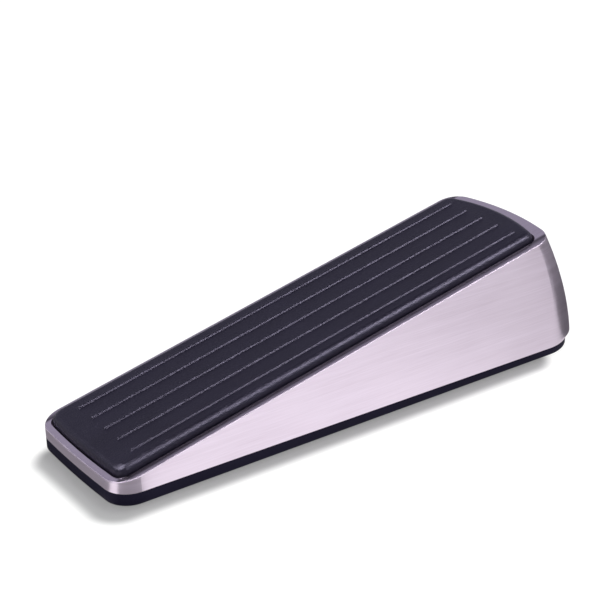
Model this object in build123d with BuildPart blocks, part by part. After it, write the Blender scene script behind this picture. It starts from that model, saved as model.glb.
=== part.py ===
"""Door wedge: a hollow die-cast body, a ribbed rubber pad let into its sloping deck, and a rubber
sole held under it by a steel plate and four screws.

Millimetres. +X runs from the thin toe to the tall heel, +Z is up, and the sole stands on Z = 0.
The origin is the centre of the bounding box's bottom face. Distances called "from the toe" are
measured along X from the toe's side corners, before the toe bows out.
"""
from build123d import *

import os
from math import cos, radians, tan

# Driving dimensions: outer shape ----------------------------------------------------------------
length = 126.0                # toe tip to heel, overall
slope = 12.24                 # deck angle above the floor, degrees
deck_width = 35.1             # across the sloping deck
side_draft = 1.2              # each side wall leans out towards the floor, degrees
toe_height = 5.3              # deck height at the toe
toe_bow = 0.6                 # how far the toe bulges out in plan
toe_corner = 5.5              # plan radius of the toe's corners
heel_bow = 2.5                # how far the heel bulges out in plan
heel_lean = 10.9              # the heel's foot stands out beyond its top by this much
heel_swell = 0.8              # outward bulge of the heel's side profile at mid height
heel_corner_top = 5.7         # plan radius of the heel's corners at the deck
heel_corner_foot = 11.5       # plan radius of the heel's corners at the foot
foot_tuck = 1.1               # the heel's bottom edge is tucked in by this much
foot_tuck_height = 1.0
deck_edge = 0.25              # rounded outer edge of the rim
overshoot = 3.0               # how far shapes run past the plane that trims them
heel_sections = 5             # cross-sections the heel's curved profile is lofted through

# Driving dimensions: rubber sole ----------------------------------------------------------------
sole_toe_thickness = 2.85     # rubber between the casting and the floor, at the toe
sole_heel_thickness = 2.15    # and at the heel
sole_width = 35.2
sole_heel_inset = 1.5         # the sole stops short of the heel's foot
sole_edge = 0.5               # rounded lower edge
tread_pitch = 5.0             # cross grooves under the sole
tread_width = 1.4
tread_depth = 0.8
tread_border = 4.0            # plain rubber round the tread
tread_count = 25
head_pocket = 6.8             # hole through the sole round a screw head

# Driving dimensions: casting walls, recess and pad ----------------------------------------------
wall = 2.6                    # side and heel walls
deck_wall = 2.2               # metal under the pad recess
side_rim = 1.95               # raised metal rim beside the pad
toe_rim = 1.4                 # and at its toe end
heel_rim = 2.4                # and at its heel end
recess_depth = 1.2
recess_corner = 2.8
film_thickness = 0.2
film_inset = 1.0              # the film stays inside the pad's outline
pad_gap = 0.2                 # between the foot of the pad and the rim
pad_proud = 1.9               # pad top above the rim
pad_taper = 10.0              # the pad's walls lean in, degrees
pad_edge = 1.6                # rounded top edge of the pad
bead_count = 5                # raised lengthwise ribs on the pad
bead_pitch = 5.56
bead_width = 0.9
bead_height = 0.35
bead_edge = 0.3               # rounded top edges of a bead
bead_start = 7.0              # from the toe
bead_end = 107.2              # from the toe

# Driving dimensions: inside, plate and screws ---------------------------------------------------
cavity_start = 21.0           # the casting is solid from the toe to here
rib_places = (50.0, 80.0)     # cross ribs, from the toe
rib_thickness = 2.0
plate_thickness = 1.2
plate_start = 12.0            # from the toe
plate_inset = 1.4             # plate edge inside the casting's foot
plate_fit = 0.15              # clearance round the plate in its seat
plate_corner = 4.0
plate_hole = 3.4
screw_rows = (31.0, 102.0)    # from the toe
screw_spread = 17.0           # between the two screws of a row
screw_diameter = 2.9
screw_length = 6.0
screw_tip = 0.5               # blank hole beyond the screw's end
boss_diameter = 7.5
head_diameter = 5.6
head_height = 1.7
head_edge = 0.5               # rounded top edge of the head
drive_radius = 1.2            # hexagon socket, centre to corner
drive_depth = 1.0

# Derived places ---------------------------------------------------------------------------------
toe_x = toe_bow - length / 2
heel_x = length / 2
rise = tan(radians(slope))
lean = tan(radians(side_draft))
run = cos(radians(slope))     # plan length of one millimetre along the deck
heel_top_x = heel_x - heel_lean
heel_top_z = toe_height + rise * (heel_top_x - toe_x)
tuck_top = sole_heel_thickness + foot_tuck_height
heel_height = heel_top_z - tuck_top
seat_fall = (sole_toe_thickness - sole_heel_thickness) / (heel_x - toe_x)
seat_plane = Plane(
    origin=(0, 0, (sole_toe_thickness + sole_heel_thickness) / 2), z_dir=(seat_fall, 0, 1)
)
plate_plane = seat_plane.offset(plate_thickness)
head_plane = seat_plane.offset(-head_height)
deck_plane = Plane(
    origin=(toe_x, 0, toe_height), x_dir=(run, 0, rise * run), z_dir=(-rise * run, 0, run)
)
recess_plane = deck_plane.offset(-recess_depth)
deck_length = (heel_top_x - toe_x) / run
recess_half_width = deck_width / 2 - side_rim
screw_spots = [(toe_x + x, y) for x in screw_rows for y in (-screw_spread / 2, screw_spread / 2)]


def side_at(x, z):
    """Half the casting's width at a height z, x from the toe: the drafted wall is a flat plane."""
    return deck_width / 2 + lean * (toe_height + rise * x - z)


def plan_outline(toe, heel, toe_half, heel_half, toe_radius, heel_radius):
    """The wedge's plan shape: a slight taper, both ends bowed out, all four corners rounded."""
    heel_side = heel - heel_bow
    with BuildSketch() as outline:
        with BuildLine():
            Line((toe, -toe_half), (heel_side, -heel_half))
            ThreePointArc((heel_side, -heel_half), (heel, 0), (heel_side, heel_half))
            Line((heel_side, heel_half), (toe, toe_half))
            ThreePointArc((toe, toe_half), (toe - toe_bow, 0), (toe, -toe_half))
        make_face()
        fillet(outline.vertices().group_by(Axis.X)[0], toe_radius)
        fillet(outline.vertices().group_by(Axis.X)[-1], heel_radius)
    return outline.sketch


def section_at(toe, z, inset, tuck=0):
    """The casting's outline at a height z, drawn in by an inset, with the heel tucked in further."""
    up = max(0, (z - tuck_top) / heel_height)          # 0 above the tuck, 1 at the heel's top
    heel = heel_x - heel_lean * up + 4 * heel_swell * up * (1 - up) - inset
    corner = heel_corner_top + (heel_corner_foot - heel_corner_top) * (1 - up) ** 2
    with BuildSketch(Plane.XY.offset(z)) as section:
        add(plan_outline(
            toe_x + toe, heel - tuck, side_at(toe, z) - inset,
            side_at(heel - heel_bow - toe_x, z) - inset,
            toe_corner - inset / 2, corner - inset / 2,
        ))
    return section.sketch


def wedge_block(toe, inset):
    """The casting's outer form drawn in by an inset, from the foot to above the deck."""
    climb = (heel_height + overshoot) / (heel_sections - 1)
    with BuildPart() as block:
        loft(sections=[section_at(toe, tuck_top + climb * step, inset) for step in range(heel_sections)])
        loft(sections=[section_at(toe, 0, inset, foot_tuck * tuck_top / foot_tuck_height),
                       section_at(toe, tuck_top, inset)], ruled=True)
        split(bisect_by=seat_plane, keep=Keep.TOP)
    return block.part


def pad_outline(inset):
    """Outline on the sloping deck, drawn in from the recess by the given inset."""
    return plan_outline(
        toe_rim + inset, deck_length - heel_rim - inset, recess_half_width - inset,
        recess_half_width - inset, recess_corner - inset / 2, recess_corner - inset / 2,
    )


def sole_outline(inset):
    """The sole's plan shape on the floor, parallel-sided, drawn in by an inset."""
    return plan_outline(
        toe_x + inset, heel_x - sole_heel_inset - inset, sole_width / 2 - inset,
        sole_width / 2 - inset, toe_corner - inset / 2, heel_corner_foot - sole_heel_inset - inset,
    )


def plate_outline(inset):
    """Outline of the plate's seat in the mouth of the casting, drawn in by an inset."""
    edge = plate_inset + inset
    return plan_outline(
        toe_x + plate_start + inset, heel_x - 2 * edge,
        side_at(plate_start, sole_toe_thickness) - edge, side_at(length, sole_heel_thickness) - edge,
        plate_corner - inset, heel_corner_foot - edge,
    )


# Wedge body: hollow zinc casting ----------------------------------------------------------------
with BuildPart() as core:
    add(wedge_block(cavity_start, wall))
    split(bisect_by=recess_plane.offset(-deck_wall), keep=Keep.BOTTOM)
    with BuildSketch():
        with Locations(*[(toe_x + place, 0) for place in rib_places]):
            Rectangle(rib_thickness, 2 * deck_width)
        with Locations(*screw_spots):
            Circle(boss_diameter / 2)
    extrude(amount=heel_top_z, mode=Mode.SUBTRACT)

with BuildPart() as wedge_body:
    add(wedge_block(0, 0))
    split(bisect_by=deck_plane, keep=Keep.BOTTOM)
    deck = wedge_body.faces().filter_by(deck_plane).sort_by(Axis.Z)[-1]
    fillet(deck.edges(), deck_edge)
    add(core.part, mode=Mode.SUBTRACT)
    with BuildSketch(seat_plane):
        add(plate_outline(0))
    extrude(amount=plate_thickness, mode=Mode.SUBTRACT)
    with BuildSketch(recess_plane):
        add(pad_outline(0))
    extrude(amount=recess_depth + overshoot, mode=Mode.SUBTRACT)
    with BuildSketch(plate_plane):
        with Locations(*screw_spots):
            Circle(screw_diameter / 2)
    extrude(amount=screw_length - plate_thickness + screw_tip, mode=Mode.SUBTRACT)
wedge_body.part.label = "wedge_body"

# Adhesive film and grip pad, both parallel to the deck ------------------------------------------
with BuildPart() as pad_adhesive_film:
    with BuildSketch(recess_plane):
        add(pad_outline(pad_gap + film_inset))
    extrude(amount=film_thickness)
pad_adhesive_film.part.label = "pad_adhesive_film"

with BuildPart() as top_grip_pad:
    with BuildSketch(recess_plane.offset(film_thickness)):
        add(pad_outline(pad_gap))
    extrude(amount=recess_depth - film_thickness + pad_proud, taper=pad_taper)
    fillet(top_grip_pad.faces().filter_by(deck_plane).sort_by(Axis.Z)[-1].edges(), pad_edge)
    with BuildSketch(deck_plane.offset(pad_proud)):
        with Locations(((bead_start + bead_end) / 2 / run, 0)):
            with GridLocations(1, bead_pitch, 1, bead_count):
                SlotOverall((bead_end - bead_start) / run, bead_width)
    extrude(amount=bead_height)
    crests = deck_plane.offset(pad_proud + bead_height)
    fillet(top_grip_pad.edges().group_by(Axis(crests.origin, crests.z_dir))[-1], bead_edge)
top_grip_pad.part.label = "top_grip_pad"

# Backing plate in the mouth of the casting ------------------------------------------------------
with BuildPart() as sole_backing_plate:
    with BuildSketch(seat_plane):
        add(plate_outline(plate_fit))
        with Locations(*screw_spots):
            Circle(plate_hole / 2, mode=Mode.SUBTRACT)
    extrude(amount=plate_thickness)
sole_backing_plate.part.label = "sole_backing_plate"

# Rubber sole with cross grooves and pockets for the screw heads ---------------------------------
with BuildPart() as base_sole:
    with BuildSketch():
        add(sole_outline(0))
    extrude(amount=sole_toe_thickness + overshoot)
    split(bisect_by=seat_plane, keep=Keep.BOTTOM)
    fillet(base_sole.faces().sort_by(Axis.Z)[0].edges(), sole_edge)
    with BuildSketch():
        add(sole_outline(tread_border))
        with GridLocations(tread_pitch, 1, tread_count, 1):
            Rectangle(tread_pitch - tread_width, sole_width, mode=Mode.SUBTRACT)
    extrude(amount=tread_depth, mode=Mode.SUBTRACT)
    with BuildSketch():
        with Locations(*screw_spots):
            Circle(head_pocket / 2)
    extrude(amount=sole_toe_thickness + overshoot, mode=Mode.SUBTRACT)
base_sole.part.label = "base_sole"

# Four pan-head screws up through the plate into the casting's bosses ----------------------------
with BuildPart() as sole_screws:
    with BuildSketch(head_plane):
        with Locations(*screw_spots):
            Circle(head_diameter / 2)
    extrude(amount=head_height)
    heads = sole_screws.edges().group_by(Axis(head_plane.origin, head_plane.z_dir))[0]
    fillet(heads, head_edge)
    with BuildSketch(seat_plane):
        with Locations(*screw_spots):
            Circle(screw_diameter / 2)
    extrude(amount=screw_length)
    with BuildSketch(head_plane):
        with Locations(*screw_spots):
            RegularPolygon(drive_radius, 6)
    extrude(amount=drive_depth, mode=Mode.SUBTRACT)
sole_screws.part.label = "sole_screws"

os.makedirs("parts", exist_ok=True)
pieces = (wedge_body, pad_adhesive_film, top_grip_pad, sole_backing_plate, base_sole, sole_screws)
for piece in pieces:
    export_step(piece.part, f"parts/{piece.part.label}.step")
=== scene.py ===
"""A metal door wedge with a ribbed rubber pad let into its sloping deck and a rubber sole.

Metres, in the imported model's frame: +X from the thin toe to the tall heel, +Z up, floor at Z = 0.
"""
import math

import bpy
from mathutils import Matrix, Vector
from mathutils.geometry import delaunay_2d_cdt


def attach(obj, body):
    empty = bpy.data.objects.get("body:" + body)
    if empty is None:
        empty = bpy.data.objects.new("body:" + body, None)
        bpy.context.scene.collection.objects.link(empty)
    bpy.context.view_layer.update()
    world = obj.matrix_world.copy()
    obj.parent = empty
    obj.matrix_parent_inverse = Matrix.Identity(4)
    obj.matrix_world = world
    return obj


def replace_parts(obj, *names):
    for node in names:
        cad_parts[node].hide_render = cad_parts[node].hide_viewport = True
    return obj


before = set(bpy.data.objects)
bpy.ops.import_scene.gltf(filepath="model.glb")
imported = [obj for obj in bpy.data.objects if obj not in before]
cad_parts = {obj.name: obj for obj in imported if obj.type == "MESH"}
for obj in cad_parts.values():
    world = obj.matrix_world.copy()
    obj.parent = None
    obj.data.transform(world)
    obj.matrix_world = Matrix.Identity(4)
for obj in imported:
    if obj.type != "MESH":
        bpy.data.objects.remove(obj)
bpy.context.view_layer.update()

MM = 0.001


# ---- Node helpers ------------------------------------------------------------------------------
class Shader:
    """A material's node tree, with short calls to add and join nodes."""

    def __init__(self, name):
        self.material = bpy.data.materials.new(name)
        self.material.use_nodes = True
        self.tree = self.material.node_tree
        self.tree.nodes.clear()
        self.out = self.node("ShaderNodeOutputMaterial")
        self.bsdf = self.node("ShaderNodeBsdfPrincipled")
        self.show(self.bsdf.outputs["BSDF"])

    def node(self, kind, **settings):
        made = self.tree.nodes.new(kind)
        for key, value in settings.items():
            setattr(made, key, value)
        return made

    def join(self, output, socket):
        self.tree.links.new(output, socket)

    def feed(self, socket, value):
        """Sets a socket from a number, a tuple or another node's output."""
        if isinstance(value, bpy.types.NodeSocket):
            self.join(value, socket)
        elif value is not None:
            socket.default_value = value

    def show(self, surface):
        """Makes a shader output the material's surface."""
        self.join(surface, self.out.inputs["Surface"])

    def set(self, **sockets):
        """Sets the principled shader's sockets, named with _ for each space."""
        for name, value in sockets.items():
            self.feed(self.bsdf.inputs[name.replace("_", " ")], value)

    def place(self):
        """Object-space position in metres."""
        return self.node("ShaderNodeTexCoord").outputs["Object"]

    def split(self, vector):
        """A vector's X, Y and Z."""
        made = self.node("ShaderNodeSeparateXYZ")
        self.join(vector, made.inputs[0])
        return made.outputs

    def noise(self, cycles, detail=2.0, roughness=0.5):
        """Noise with that many cycles a metre along X, Y and Z."""
        scaled = self.node("ShaderNodeVectorMath", operation="MULTIPLY")
        self.join(self.place(), scaled.inputs[0])
        scaled.inputs[1].default_value = cycles
        made = self.node("ShaderNodeTexNoise")
        self.join(scaled.outputs["Vector"], made.inputs["Vector"])
        made.inputs["Scale"].default_value = 1.0
        made.inputs["Detail"].default_value = detail
        made.inputs["Roughness"].default_value = roughness
        return made.outputs["Fac"]

    def math(self, operation, *values):
        made = self.node("ShaderNodeMath", operation=operation)
        for socket, value in zip(made.inputs, values):
            self.feed(socket, value)
        return made.outputs[0]

    def spread(self, value, low, high, to_low, to_high, curve="LINEAR"):
        """Maps low..high to to_low..to_high, clamped."""
        made = self.node("ShaderNodeMapRange", interpolation_type=curve)
        self.feed(made.inputs["Value"], value)
        limits = {"From Min": low, "From Max": high, "To Min": to_low, "To Max": to_high}
        for name, number in limits.items():
            made.inputs[name].default_value = number
        return made.outputs["Result"]

    def blend(self, fac, first, second):
        """The first colour where fac is 0, the second where it is 1."""
        made = self.node("ShaderNodeMix", data_type="RGBA")
        self.feed(made.inputs[0], fac)
        self.feed(made.inputs[6], first)
        self.feed(made.inputs[7], second)
        return made.outputs[2]

    def bump(self, height, depth):
        """A bump of that depth in metres where the height goes from 0 to 1."""
        made = self.node("ShaderNodeBump")
        made.inputs["Distance"].default_value = depth
        self.join(height, made.inputs["Height"])
        return made.outputs["Normal"]

    def emission(self, colour, strength):
        made = self.node("ShaderNodeEmission")
        made.inputs["Color"].default_value = (*colour, 1)
        self.feed(made.inputs["Strength"], strength)
        return made.outputs[0]


# ---- Brushed metal -----------------------------------------------------------------------------
METAL_DARK = (0.74, 0.645, 0.72, 1)
METAL_LIGHT = (0.84, 0.750, 0.83, 1)
METAL_RUBBED = (0.88, 0.79, 0.86, 1)      # cloudy patches polished by handling
METAL_EDGE_SHADE = (0.22, 0.19, 0.22, 1)        # painted shade on the rounded outer edge of the rim, dimming its highlight
PAD_REFLECTION_SHADE = (0.10, 0.085, 0.10, 1)            # painted shade on the rim beside the pad, standing in for the dark pad's reflection
PAD_SHADE_RISE = (0.0148, 0.0155)             # it starts and is full this far from the middle plane
PAD_SHADE_FALL = (0.0157, 0.0176)             # and fades out across the rim


def brushed_metal():
    """Satin-nickel casting, belt-brushed round its walls and lengthwise on its deck."""
    s = Shader("satin_nickel")
    up = s.split(s.node("ShaderNodeNewGeometry").outputs["Normal"])["Z"]
    flat = s.spread(up, 0.55, 0.8, 0.0, 1.0)
    edge = s.math("MULTIPLY", s.spread(up, 0.48, 0.6, 0.0, 1.0), s.spread(up, 0.86, 0.95, 1.0, 0.0))

    def brushed(along, across, detail):
        """Streaks that run level on the walls and lengthwise on the deck."""
        walls = s.noise((along, along, across), detail, 0.6)
        deck = s.noise((along, across, along), detail, 0.6)
        on_walls = s.math("MULTIPLY", walls, s.math("SUBTRACT", 1.0, flat))
        return s.math("ADD", on_walls, s.math("MULTIPLY", deck, flat))

    hairline = brushed(90, 5200, 3.0)
    band = brushed(22, 700, 2.0)
    cloud = s.noise((45, 45, 80), 3.0)
    streak = s.math("MULTIPLY_ADD", hairline, 0.7, s.math("MULTIPLY", band, 0.3))
    tone = s.blend(s.spread(streak, 0.32, 0.68, 0.0, 1.0), METAL_DARK, METAL_LIGHT)
    rubbed = s.blend(s.spread(cloud, 0.4, 0.7, 0.0, 0.3), tone, METAL_RUBBED)
    # Painted shade: the rounded edge between walls and deck is darkened so that its highlight stays faint.
    edge_shaded = s.blend(s.math("MULTIPLY", edge, 0.75), rubbed, METAL_EDGE_SHADE)

    # Painted shade: the rim darkens towards the pad, in place of the dark pad wall that it reflects.
    side = s.math("ABSOLUTE", s.split(s.place())["Y"])
    pad_shade_mask = s.math("MULTIPLY", s.spread(side, *PAD_SHADE_RISE, 0.0, 1.0), s.spread(side, *PAD_SHADE_FALL, 0.9, 0.0))
    s.set(Base_Color=s.blend(s.math("MULTIPLY", flat, pad_shade_mask), edge_shaded, PAD_REFLECTION_SHADE), Metallic=1.0)

    satin = s.spread(streak, 0.3, 0.7, 0.31, 0.41)
    rough = s.math("MULTIPLY", satin, s.spread(flat, 0.0, 1.0, 1.0, 0.5))
    s.set(Roughness=s.math("MULTIPLY_ADD", edge, 0.38, rough))
    s.set(Anisotropic=s.spread(flat, 0.0, 1.0, 0.65, 0.0), Anisotropic_Rotation=0.25)
    tangent = s.node("ShaderNodeTangent", direction_type="RADIAL", axis="Z")
    s.set(Tangent=tangent.outputs[0], Normal=s.bump(streak, 0.000006))
    return s.material


# ---- Rubber, film and plated steel -------------------------------------------------------------
def rubber(name, dark, light, rough, shine, grain):
    """Moulded black rubber: fine eroded grain, and uneven colour and gloss from handling."""
    s = Shader(name)
    fine = s.noise((2600, 2600, 2600), 3.0, 0.6)
    cloud = s.noise((70, 110, 110), 4.0, 0.6)
    s.set(Base_Color=s.blend(s.spread(cloud, 0.35, 0.7, 0.0, 1.0), dark, light))
    s.set(Roughness=s.spread(cloud, 0.3, 0.7, *rough))
    s.set(Specular_IOR_Level=shine, Specular_Tint=(0.86, 0.81, 1.0, 1))
    s.set(Normal=s.bump(fine, grain))
    return s.material


def zinc_steel(name, tint):
    """Zinc-plated pressed steel: faint spangle and rolling lines."""
    s = Shader(name)
    spangle = s.noise((420, 420, 420), 3.0, 0.6)
    lines = s.noise((40, 2600, 2600))
    shade = (*[channel * 0.82 for channel in tint], 1)
    s.set(Base_Color=s.blend(s.spread(spangle, 0.35, 0.65, 0.0, 1.0), shade, (*tint, 1)))
    s.set(Metallic=1.0, Roughness=s.spread(lines, 0.3, 0.7, 0.26, 0.42))
    s.set(Normal=s.bump(lines, 0.000015))
    return s.material


def adhesive():
    """Thin acrylic adhesive film."""
    s = Shader("adhesive_film")
    cloud = s.noise((300, 300, 300), 3.0)
    mottled = s.blend(s.spread(cloud, 0.3, 0.7, 0.0, 1.0), (0.55, 0.53, 0.47, 1), (0.72, 0.70, 0.64, 1))
    s.set(Base_Color=mottled, Roughness=s.spread(cloud, 0.3, 0.7, 0.35, 0.5))
    s.set(Normal=s.bump(cloud, 0.00002))
    return s.material


FINISHES = {
    "wedge_body": brushed_metal(),
    "top_grip_pad": rubber(
        "pad_rubber", dark=(0.0030, 0.0023, 0.0085, 1), light=(0.0046, 0.0037, 0.0120, 1),
        rough=(0.32, 0.40), shine=0.52, grain=0.00010,
    ),
    "base_sole": rubber(
        "sole_rubber", dark=(0.0120, 0.0105, 0.0240, 1), light=(0.0160, 0.0140, 0.0310, 1),
        rough=(0.5, 0.62), shine=0.06, grain=0.00003,
    ),
    "pad_adhesive_film": adhesive(),
    "sole_backing_plate": zinc_steel("zinc_plate", (0.66, 0.67, 0.66)),
    "sole_screws": zinc_steel("zinc_screw", (0.72, 0.72, 0.70)),
}


def finish_node(name):
    """Gives a CAD node its finish in every material slot."""
    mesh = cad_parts[name].data
    if not mesh.materials:
        mesh.materials.append(FINISHES[name])
    for index in range(len(mesh.materials)):
        mesh.materials[index] = FINISHES[name]


for node_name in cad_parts:
    finish_node(node_name)

# ---- Grip pad: the CAD solid's own dimensions, in millimetres on the sloping deck --------------
SLOPE = math.radians(12.24)
TOE = Vector((-62.4, 0, 5.3))             # where the deck starts
DECK_X = Vector((math.cos(SLOPE), 0, math.sin(SLOPE)))
DECK_Z = Vector((-math.sin(SLOPE), 0, math.cos(SLOPE)))
PAD_FLOOR = -1.0                          # foot of the pad, below the deck
PAD_HEIGHT = 2.89
PAD_TAPER = math.tan(math.radians(10))    # how far the wall leans in for each millimetre of height
PAD_EDGE = 1.6                            # rounded top edge
PAD_ENDS = (1.6, 114.56)                  # along the deck: the toe's side corners and the heel's tip
PAD_HALF = 15.4
PAD_BOWS = (0.6, 2.5)                     # how far the toe and heel ends bulge
PAD_CORNER = 2.7                          # plan radius of the corners at the foot
CORNER_SHRINK = 0.3                       # loss of that radius for each millimetre of inset
FOOT_ROUND = 0.14
WALL_LOOPS = (FOOT_ROUND, 0.7, 1.2)       # heights of the edge loops on the straight wall
BEAD_PITCH = 5.56
BEADS = [BEAD_PITCH * i for i in (-2, -1, 0, 1, 2)]
BEAD_ENDS = (7.163, 109.693)              # along the deck
BEAD_HALF = 0.45
BEAD_HEIGHT = 0.35
BEAD_FOOT = ((0.07, 0.0), (0.02, 0.018))  # the flare round a rib: distance outside it and height
SIDE_STEPS, END_STEPS, CORNER_STEPS, EDGE_STEPS = 24, 24, 10, 14
BEAD_STEPS, BEAD_END_STEPS, CROWN_STEPS = 20, 10, 9
QUARTER = math.pi / 2


def on_deck(along, across, height):
    """A point in metres, from its place on the deck in millimetres."""
    return (TOE + DECK_X * along + Vector((0, across, 0)) + DECK_Z * height) * MM


def arc(centre, radius, start, end, steps):
    """Points on an arc, angles in radians, both ends included."""
    angles = [start + (end - start) * i / steps for i in range(steps + 1)]
    return [(centre[0] + radius * math.cos(angle), centre[1] + radius * math.sin(angle)) for angle in angles]


def between(start, end, steps):
    """Evenly spaced places from start to end, both left out."""
    return [start + (end - start) * i / steps for i in range(1, steps)]


def pad_ring(inset):
    """The pad's outline drawn in by an inset: bowed ends, straight sides, rounded corners."""
    half = PAD_HALF - inset
    corner = PAD_CORNER - CORNER_SHRINK * inset
    deep = half - corner
    ends = []
    for end, bow, way in zip(PAD_ENDS, PAD_BOWS, (-1, 1)):
        radius = (PAD_HALF ** 2 + bow ** 2) / (2 * bow)
        middle = end - radius if way > 0 else end - bow + radius
        reach = math.sqrt((radius - inset - corner) ** 2 - deep ** 2)
        ends.append((middle, radius - inset, middle + way * reach, math.atan2(deep, reach)))
    (toe_centre, toe_radius, toe_side, toe_turn), (heel_centre, heel_radius, heel_side, heel_turn) = ends
    side = between(toe_side, heel_side, SIDE_STEPS)
    ring = [(along, -half) for along in side]
    ring += arc((heel_side, -deep), corner, -QUARTER, -heel_turn, CORNER_STEPS)
    ring += arc((heel_centre, 0), heel_radius, -heel_turn, heel_turn, END_STEPS)[1:-1]
    ring += arc((heel_side, deep), corner, heel_turn, QUARTER, CORNER_STEPS)
    ring += [(along, half) for along in reversed(side)]
    ring += arc((toe_side, deep), corner, QUARTER, math.pi - toe_turn, CORNER_STEPS)
    ring += arc((toe_centre, 0), toe_radius, math.pi - toe_turn, math.pi + toe_turn, END_STEPS)[1:-1]
    ring += arc((toe_side, -deep), corner, math.pi + toe_turn, 3 * QUARTER, CORNER_STEPS)
    return ring


def pad_profile():
    """The pad wall's section, as inset and height: foot, leaning wall, rounded top edge."""
    tilt = math.atan(PAD_TAPER)
    edge_in = (PAD_HEIGHT - PAD_EDGE) * PAD_TAPER + PAD_EDGE * math.sqrt(1 + PAD_TAPER ** 2)
    section = [(FOOT_ROUND, 0.0), (0.3 * FOOT_ROUND, 0.3 * FOOT_ROUND)]
    section += [(height * PAD_TAPER, height) for height in WALL_LOOPS]
    section += arc((edge_in, PAD_HEIGHT - PAD_EDGE), PAD_EDGE, math.pi - tilt, QUARTER, EDGE_STEPS)
    return section


def bead_ring(across, half):
    """One raised rib's outline, that far out from its centre line."""
    start = BEAD_ENDS[0] + BEAD_HALF
    end = BEAD_ENDS[1] - BEAD_HALF
    side = between(start, end, BEAD_STEPS)
    ring = [(along, across - half) for along in side]
    ring += arc((end, across), half, -QUARTER, QUARTER, BEAD_END_STEPS)
    ring += [(along, across + half) for along in reversed(side)]
    ring += arc((start, across), half, QUARTER, 3 * QUARTER, BEAD_END_STEPS)
    return ring


def bead_profile():
    """A rib's section, as distance from its centre line and height above the pad."""
    radius = (BEAD_HALF ** 2 + BEAD_HEIGHT ** 2) / (2 * BEAD_HEIGHT)
    steep = math.asin(BEAD_HALF / radius)
    foot = [(BEAD_HALF + out, height) for out, height in BEAD_FOOT]
    crown = arc((0, BEAD_HEIGHT - radius), radius, QUARTER - steep, QUARTER, CROWN_STEPS)
    return foot + crown[1:-1]


def add_ring(points, ring, height):
    """Adds a ring of points at a height above the pad's foot and gives their numbers."""
    first = len(points)
    points += [on_deck(along, across, PAD_FLOOR + height) for along, across in ring]
    return list(range(first, len(points)))


def skin(faces, rings):
    """Joins each ring to the next with four-sided faces."""
    for lower, upper in zip(rings, rings[1:]):
        for i in range(len(lower)):
            j = (i + 1) % len(lower)
            faces.append((lower[i], lower[j], upper[j], upper[i]))


def flat_between(loops):
    """Triangles of the flat top between its outer loop and the rings round the ribs' feet."""
    numbers = [number for ids, _ in loops for number in ids]
    flat = [Vector(place) for _, ring in loops for place in ring]
    edges = []
    first = 0
    for ids, _ in loops:
        count = len(ids)
        edges += [(first + i, first + (i + 1) % count) for i in range(count)]
        first += count
    triangles, origins = delaunay_2d_cdt(flat, edges, [], 1, 1e-6)[2:4]
    bead_reach = BEAD_HALF + BEAD_FOOT[0][0] - 0.005
    kept = []
    for triangle in triangles:
        ids = [origins[corner][0] for corner in triangle]
        middle = sum((flat[i] for i in ids), Vector((0, 0))) / 3
        under_bead = any(abs(middle.y - across) < bead_reach for across in BEADS)
        if not (under_bead and BEAD_ENDS[0] < middle.x < BEAD_ENDS[1]):
            kept.append(tuple(numbers[i] for i in ids))
    return kept


def smooth_piece(name, points, faces, material):
    """A closed mesh, smooth-shaded with its flat faces kept flat, riding on the root body."""
    mesh = bpy.data.meshes.new(name)
    mesh.from_pydata(points, [], faces)
    mesh.validate()
    mesh.polygons.foreach_set("use_smooth", [True] * len(mesh.polygons))
    mesh.materials.append(material)
    made = bpy.data.objects.new(name, mesh)
    bpy.context.scene.collection.objects.link(made)
    weigh = made.modifiers.new("flat_faces", "WEIGHTED_NORMAL")
    weigh.weight = 100
    weigh.keep_sharp = True
    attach(made, "root")
    return made


def build_pad():
    """The pad's closed skin: its foot, walls and rounded edge, the ribs, and the flat between them."""
    points, faces = [], []
    section = pad_profile()
    rings = [add_ring(points, pad_ring(inset), height) for inset, height in section]
    faces.append(tuple(reversed(rings[0])))
    skin(faces, rings)
    flat_loops = [(rings[-1], pad_ring(section[-1][0]))]
    rib_section = bead_profile()
    for across in BEADS:
        loops = []
        for half, height in rib_section:
            loops.append(add_ring(points, bead_ring(across, half), PAD_HEIGHT + height))
        flat_loops.append((loops[0], bead_ring(across, rib_section[0][0])))
        skin(faces, loops)
        faces.append(tuple(loops[-1]))
    faces += flat_between(flat_loops)
    return smooth_piece("grip_pad_moulding", points, faces, FINISHES["top_grip_pad"])


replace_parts(build_pad(), "top_grip_pad")

# ---- Floor and reflection cards ----------------------------------------------------------------
RAYS = ("visible_camera", "visible_diffuse", "visible_glossy", "visible_transmission", "visible_shadow")
STUDIO_HALF = 6
FLOOR_COLOUR = (0.20, 0.203, 0.20, 1)
FLOOR_GLOW = (1.0, 1.0, 0.985)
SHADOW_TONE, PAPER_TONE = 0.235, 0.90     # the floor's own glow, in the drop shadow and clear of it
SHADOW_CENTRE = (-0.0091, -0.0041)        # the drop shadow: the foot's shape, moved towards the toe
SHADOW_HALF = (0.0590, 0.0176)
SHADOW_CORNER = 0.0065
SHADOW_FADE = 0.0023
CARD_COLOUR = (1.0, 0.98, 1.02)
CARD_FLOOR_Z = -0.0006
LOWEST_CARD_Z = -0.0005
CARD_LIFT = 0.0001                        # each card lies this much above the one before
CARDS = (
    ("card_heel", [(0.0625, -0.0195), (0.31, -0.33), (0.31, 0.33), (0.0625, 0.0195)], 0.06),
    ("card_toe_front", [(-0.0560, -0.0188), (-0.0325, -0.074), (-0.116, -0.042), (-0.0625, -0.0142)], 0.19),
    ("card_toe_bright", [(-0.0625, -0.0142), (-0.116, -0.042), (-0.134, -0.014), (-0.0636, -0.0108)], 0.98),
    ("card_toe", [(-0.0636, -0.0108), (-0.134, -0.014), (-0.14, 0.09), (-0.04, 0.09), (-0.060, 0.017)], 0.20),
)


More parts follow.
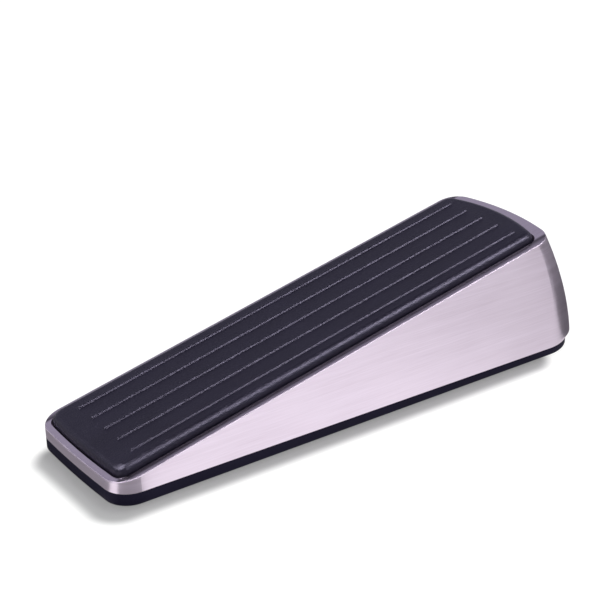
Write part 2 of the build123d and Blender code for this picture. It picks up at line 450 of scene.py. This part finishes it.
def floor_material():
    """Pale paper with a soft drop shadow beside the foot; clear from below so the sole can be seen."""
    s = Shader("pale_floor")
    s.set(Base_Color=FLOOR_COLOUR, Roughness=0.9, Specular_IOR_Level=0.0)
    where = s.split(s.place())
    squares = []
    for axis, centre, half in zip("XY", SHADOW_CENTRE, SHADOW_HALF):
        off_centre = s.math("ABSOLUTE", s.math("SUBTRACT", where[axis], centre))
        past = s.math("MAXIMUM", s.math("SUBTRACT", off_centre, half - SHADOW_CORNER), 0.0)
        squares.append(s.math("MULTIPLY", past, past))
    away = s.math("SQRT", s.math("ADD", *squares))
    tone = s.spread(away, SHADOW_CORNER - SHADOW_FADE, SHADOW_CORNER + SHADOW_FADE,
                    SHADOW_TONE, PAPER_TONE, "SMOOTHERSTEP")
    both = s.node("ShaderNodeAddShader")
    s.join(s.bsdf.outputs["BSDF"], both.inputs[0])
    s.join(s.emission(FLOOR_GLOW, tone), both.inputs[1])
    from_above = s.node("ShaderNodeMixShader")
    s.join(s.node("ShaderNodeNewGeometry").outputs["Backfacing"], from_above.inputs[0])
    s.join(both.outputs[0], from_above.inputs[1])
    s.join(s.node("ShaderNodeBsdfTransparent").outputs[0], from_above.inputs[2])
    s.show(from_above.outputs[0])
    return s.material


def glow(name, strength):
    s = Shader(name)
    s.show(s.emission(CARD_COLOUR, strength))
    return s.material


def glow_across(name, strong, weak, x_strong, x_weak):
    """A glow that fades along X."""
    s = Shader(name)
    fading = s.spread(s.split(s.place())["X"], x_strong, x_weak, strong, weak)
    s.show(s.emission(CARD_COLOUR, fading))
    return s.material


def sheet_of(name, corners, z, material, *rays):
    """A flat polygon of the studio at a height z, which only these kinds of ray meet."""
    mesh = bpy.data.meshes.new(name)
    mesh.from_pydata([(x, y, z) for x, y in corners], [], [tuple(range(len(corners)))])
    mesh.materials.append(material)
    made = bpy.data.objects.new(name, mesh)
    bpy.context.scene.collection.objects.link(made)
    for ray in RAYS:
        setattr(made, ray, ray in rays)


def square(half):
    return [(-half, -half), (half, -half), (half, half), (-half, half)]


sheet_of("floor", square(STUDIO_HALF), 0, floor_material(), "visible_camera", "visible_diffuse")

# Only reflections meet the cards: they are what the brushed metal and the rubber mirror of the studio.
CARD_FLOOR = glow_across("card_floor", strong=0.985, weak=0.70, x_strong=0.015, x_weak=0.060)
sheet_of("card_floor", square(STUDIO_HALF), CARD_FLOOR_Z, CARD_FLOOR, "visible_glossy")
for index, (name, corners, strength) in enumerate(CARDS):
    sheet_of(name, corners, LOWEST_CARD_Z + CARD_LIFT * index, glow(name, strength), "visible_glossy")


# ---- Lamps and world ---------------------------------------------------------------------------
LAMP_COLOUR = (0.94, 0.92, 1.0)
WORLD_TINT = (0.95, 0.92, 1.15)
WORLD_SEEN = (0.95, 0.95, 0.95, 1)        # what the camera itself sees past the floor
WORLD_STOPS = ((0.0, 1.0), (0.49, 1.0), (0.51, 0.45), (0.80, 0.35), (1.0, 0.08))  # 0 below, 1 above


def softbox(name, place, size, power, ray, colour=(1, 1, 1)):
    """A rectangular lamp aimed at the object. It lights matt surfaces or shows in glossy ones."""
    lamp = bpy.data.lights.new(name, "AREA")
    lamp.shape = "RECTANGLE"
    lamp.size, lamp.size_y = size
    lamp.energy = power
    lamp.color = colour
    made = bpy.data.objects.new(name, lamp)
    made.location = place
    away = Vector(place).normalized()
    wide = (Vector((1, 0, 0)) - away * away.x).normalized()
    made.rotation_mode = "QUATERNION"
    made.rotation_quaternion = Matrix((wide, away.cross(wide), away)).transposed().to_quaternion()
    bpy.context.scene.collection.objects.link(made)
    for other in ("visible_diffuse", "visible_glossy"):
        setattr(made, other, other == ray)


def sun(name, toward, strength, spread):
    """A broad distant lamp in that direction, for matt surfaces only; the spread is in degrees."""
    lamp = bpy.data.lights.new(name, "SUN")
    lamp.energy = strength
    lamp.angle = math.radians(spread)
    made = bpy.data.objects.new(name, lamp)
    made.rotation_mode = "QUATERNION"
    made.rotation_quaternion = Vector(toward).to_track_quat("Z", "Y")
    bpy.context.scene.collection.objects.link(made)
    made.visible_glossy = False


def studio_world():
    """Pale near the horizon, darker overhead; as bright as the floor below it, and to the camera."""
    world = bpy.data.worlds.new("studio")
    world.use_nodes = True
    nodes, join = world.node_tree.nodes, world.node_tree.links.new
    split = nodes.new("ShaderNodeSeparateXYZ")
    join(nodes.new("ShaderNodeTexCoord").outputs["Generated"], split.inputs[0])
    climb = nodes.new("ShaderNodeMath")
    climb.operation = "MULTIPLY_ADD"
    climb.inputs[1].default_value = 0.5
    climb.inputs[2].default_value = 0.5
    join(split.outputs["Z"], climb.inputs[0])
    ramp = nodes.new("ShaderNodeValToRGB")
    join(climb.outputs[0], ramp.inputs[0])
    elements = ramp.color_ramp.elements
    while len(elements) < len(WORLD_STOPS):
        elements.new(0.5)
    for element, (place, grey) in zip(elements, WORLD_STOPS):
        element.position = place
        element.color = (*[grey * channel for channel in WORLD_TINT], 1)
    choose = nodes.new("ShaderNodeMix")
    choose.data_type = "RGBA"
    join(nodes.new("ShaderNodeLightPath").outputs["Is Camera Ray"], choose.inputs[0])
    join(ramp.outputs["Color"], choose.inputs[6])
    choose.inputs[7].default_value = WORLD_SEEN
    join(choose.outputs[2], nodes["Background"].inputs["Color"])
    return world


sun("key", (0.45, 0.20, 0.87), 1.6, 25)
softbox("overhead", (0.0, 0.0, 1.5), (1.8, 1.8), 13, "visible_diffuse")
softbox("strip", (0.21, -0.33, 0.50), (0.5, 0.17), 4.6, "visible_glossy", LAMP_COLOUR)
softbox("corner_light", (-0.36, 0.02, 0.50), (0.15, 0.15), 4.6, "visible_glossy", LAMP_COLOUR)
bpy.context.scene.world = studio_world()
bpy.context.scene.view_settings.view_transform = "Standard"
bpy.context.scene.view_settings.look = "None"

# ---- Camera ------------------------------------------------------------------------------------
CAMERA_PLACE = (-0.18617, -0.26658, 0.16989)
CAMERA_PITCH = 24.449                     # degrees below the horizon
CAMERA_YAW = 33.961                       # degrees from +Y towards +X
CAMERA_ROLL = -1.643                      # degrees
CAMERA_LENS = 98.41
CAMERA_SENSOR = 36.0


def add_camera():
    data = bpy.data.cameras.new("camera")
    data.lens = CAMERA_LENS
    data.sensor_width = CAMERA_SENSOR
    data.clip_start = 0.01
    data.clip_end = 50.0
    yaw, pitch, roll = (math.radians(angle) for angle in (CAMERA_YAW, CAMERA_PITCH, CAMERA_ROLL))
    level = math.cos(pitch)
    forward = Vector((math.sin(yaw) * level, math.cos(yaw) * level, -math.sin(pitch)))
    level_right = Vector((math.cos(yaw), -math.sin(yaw), 0))
    level_up = level_right.cross(forward)
    right = level_right * math.cos(roll) + level_up * math.sin(roll)
    up = level_up * math.cos(roll) - level_right * math.sin(roll)
    made = bpy.data.objects.new("camera", data)
    turn = Matrix((right, up, -forward)).transposed().to_4x4()
    made.matrix_world = Matrix.Translation(CAMERA_PLACE) @ turn
    bpy.context.scene.collection.objects.link(made)
    bpy.context.scene.camera = made


add_camera()
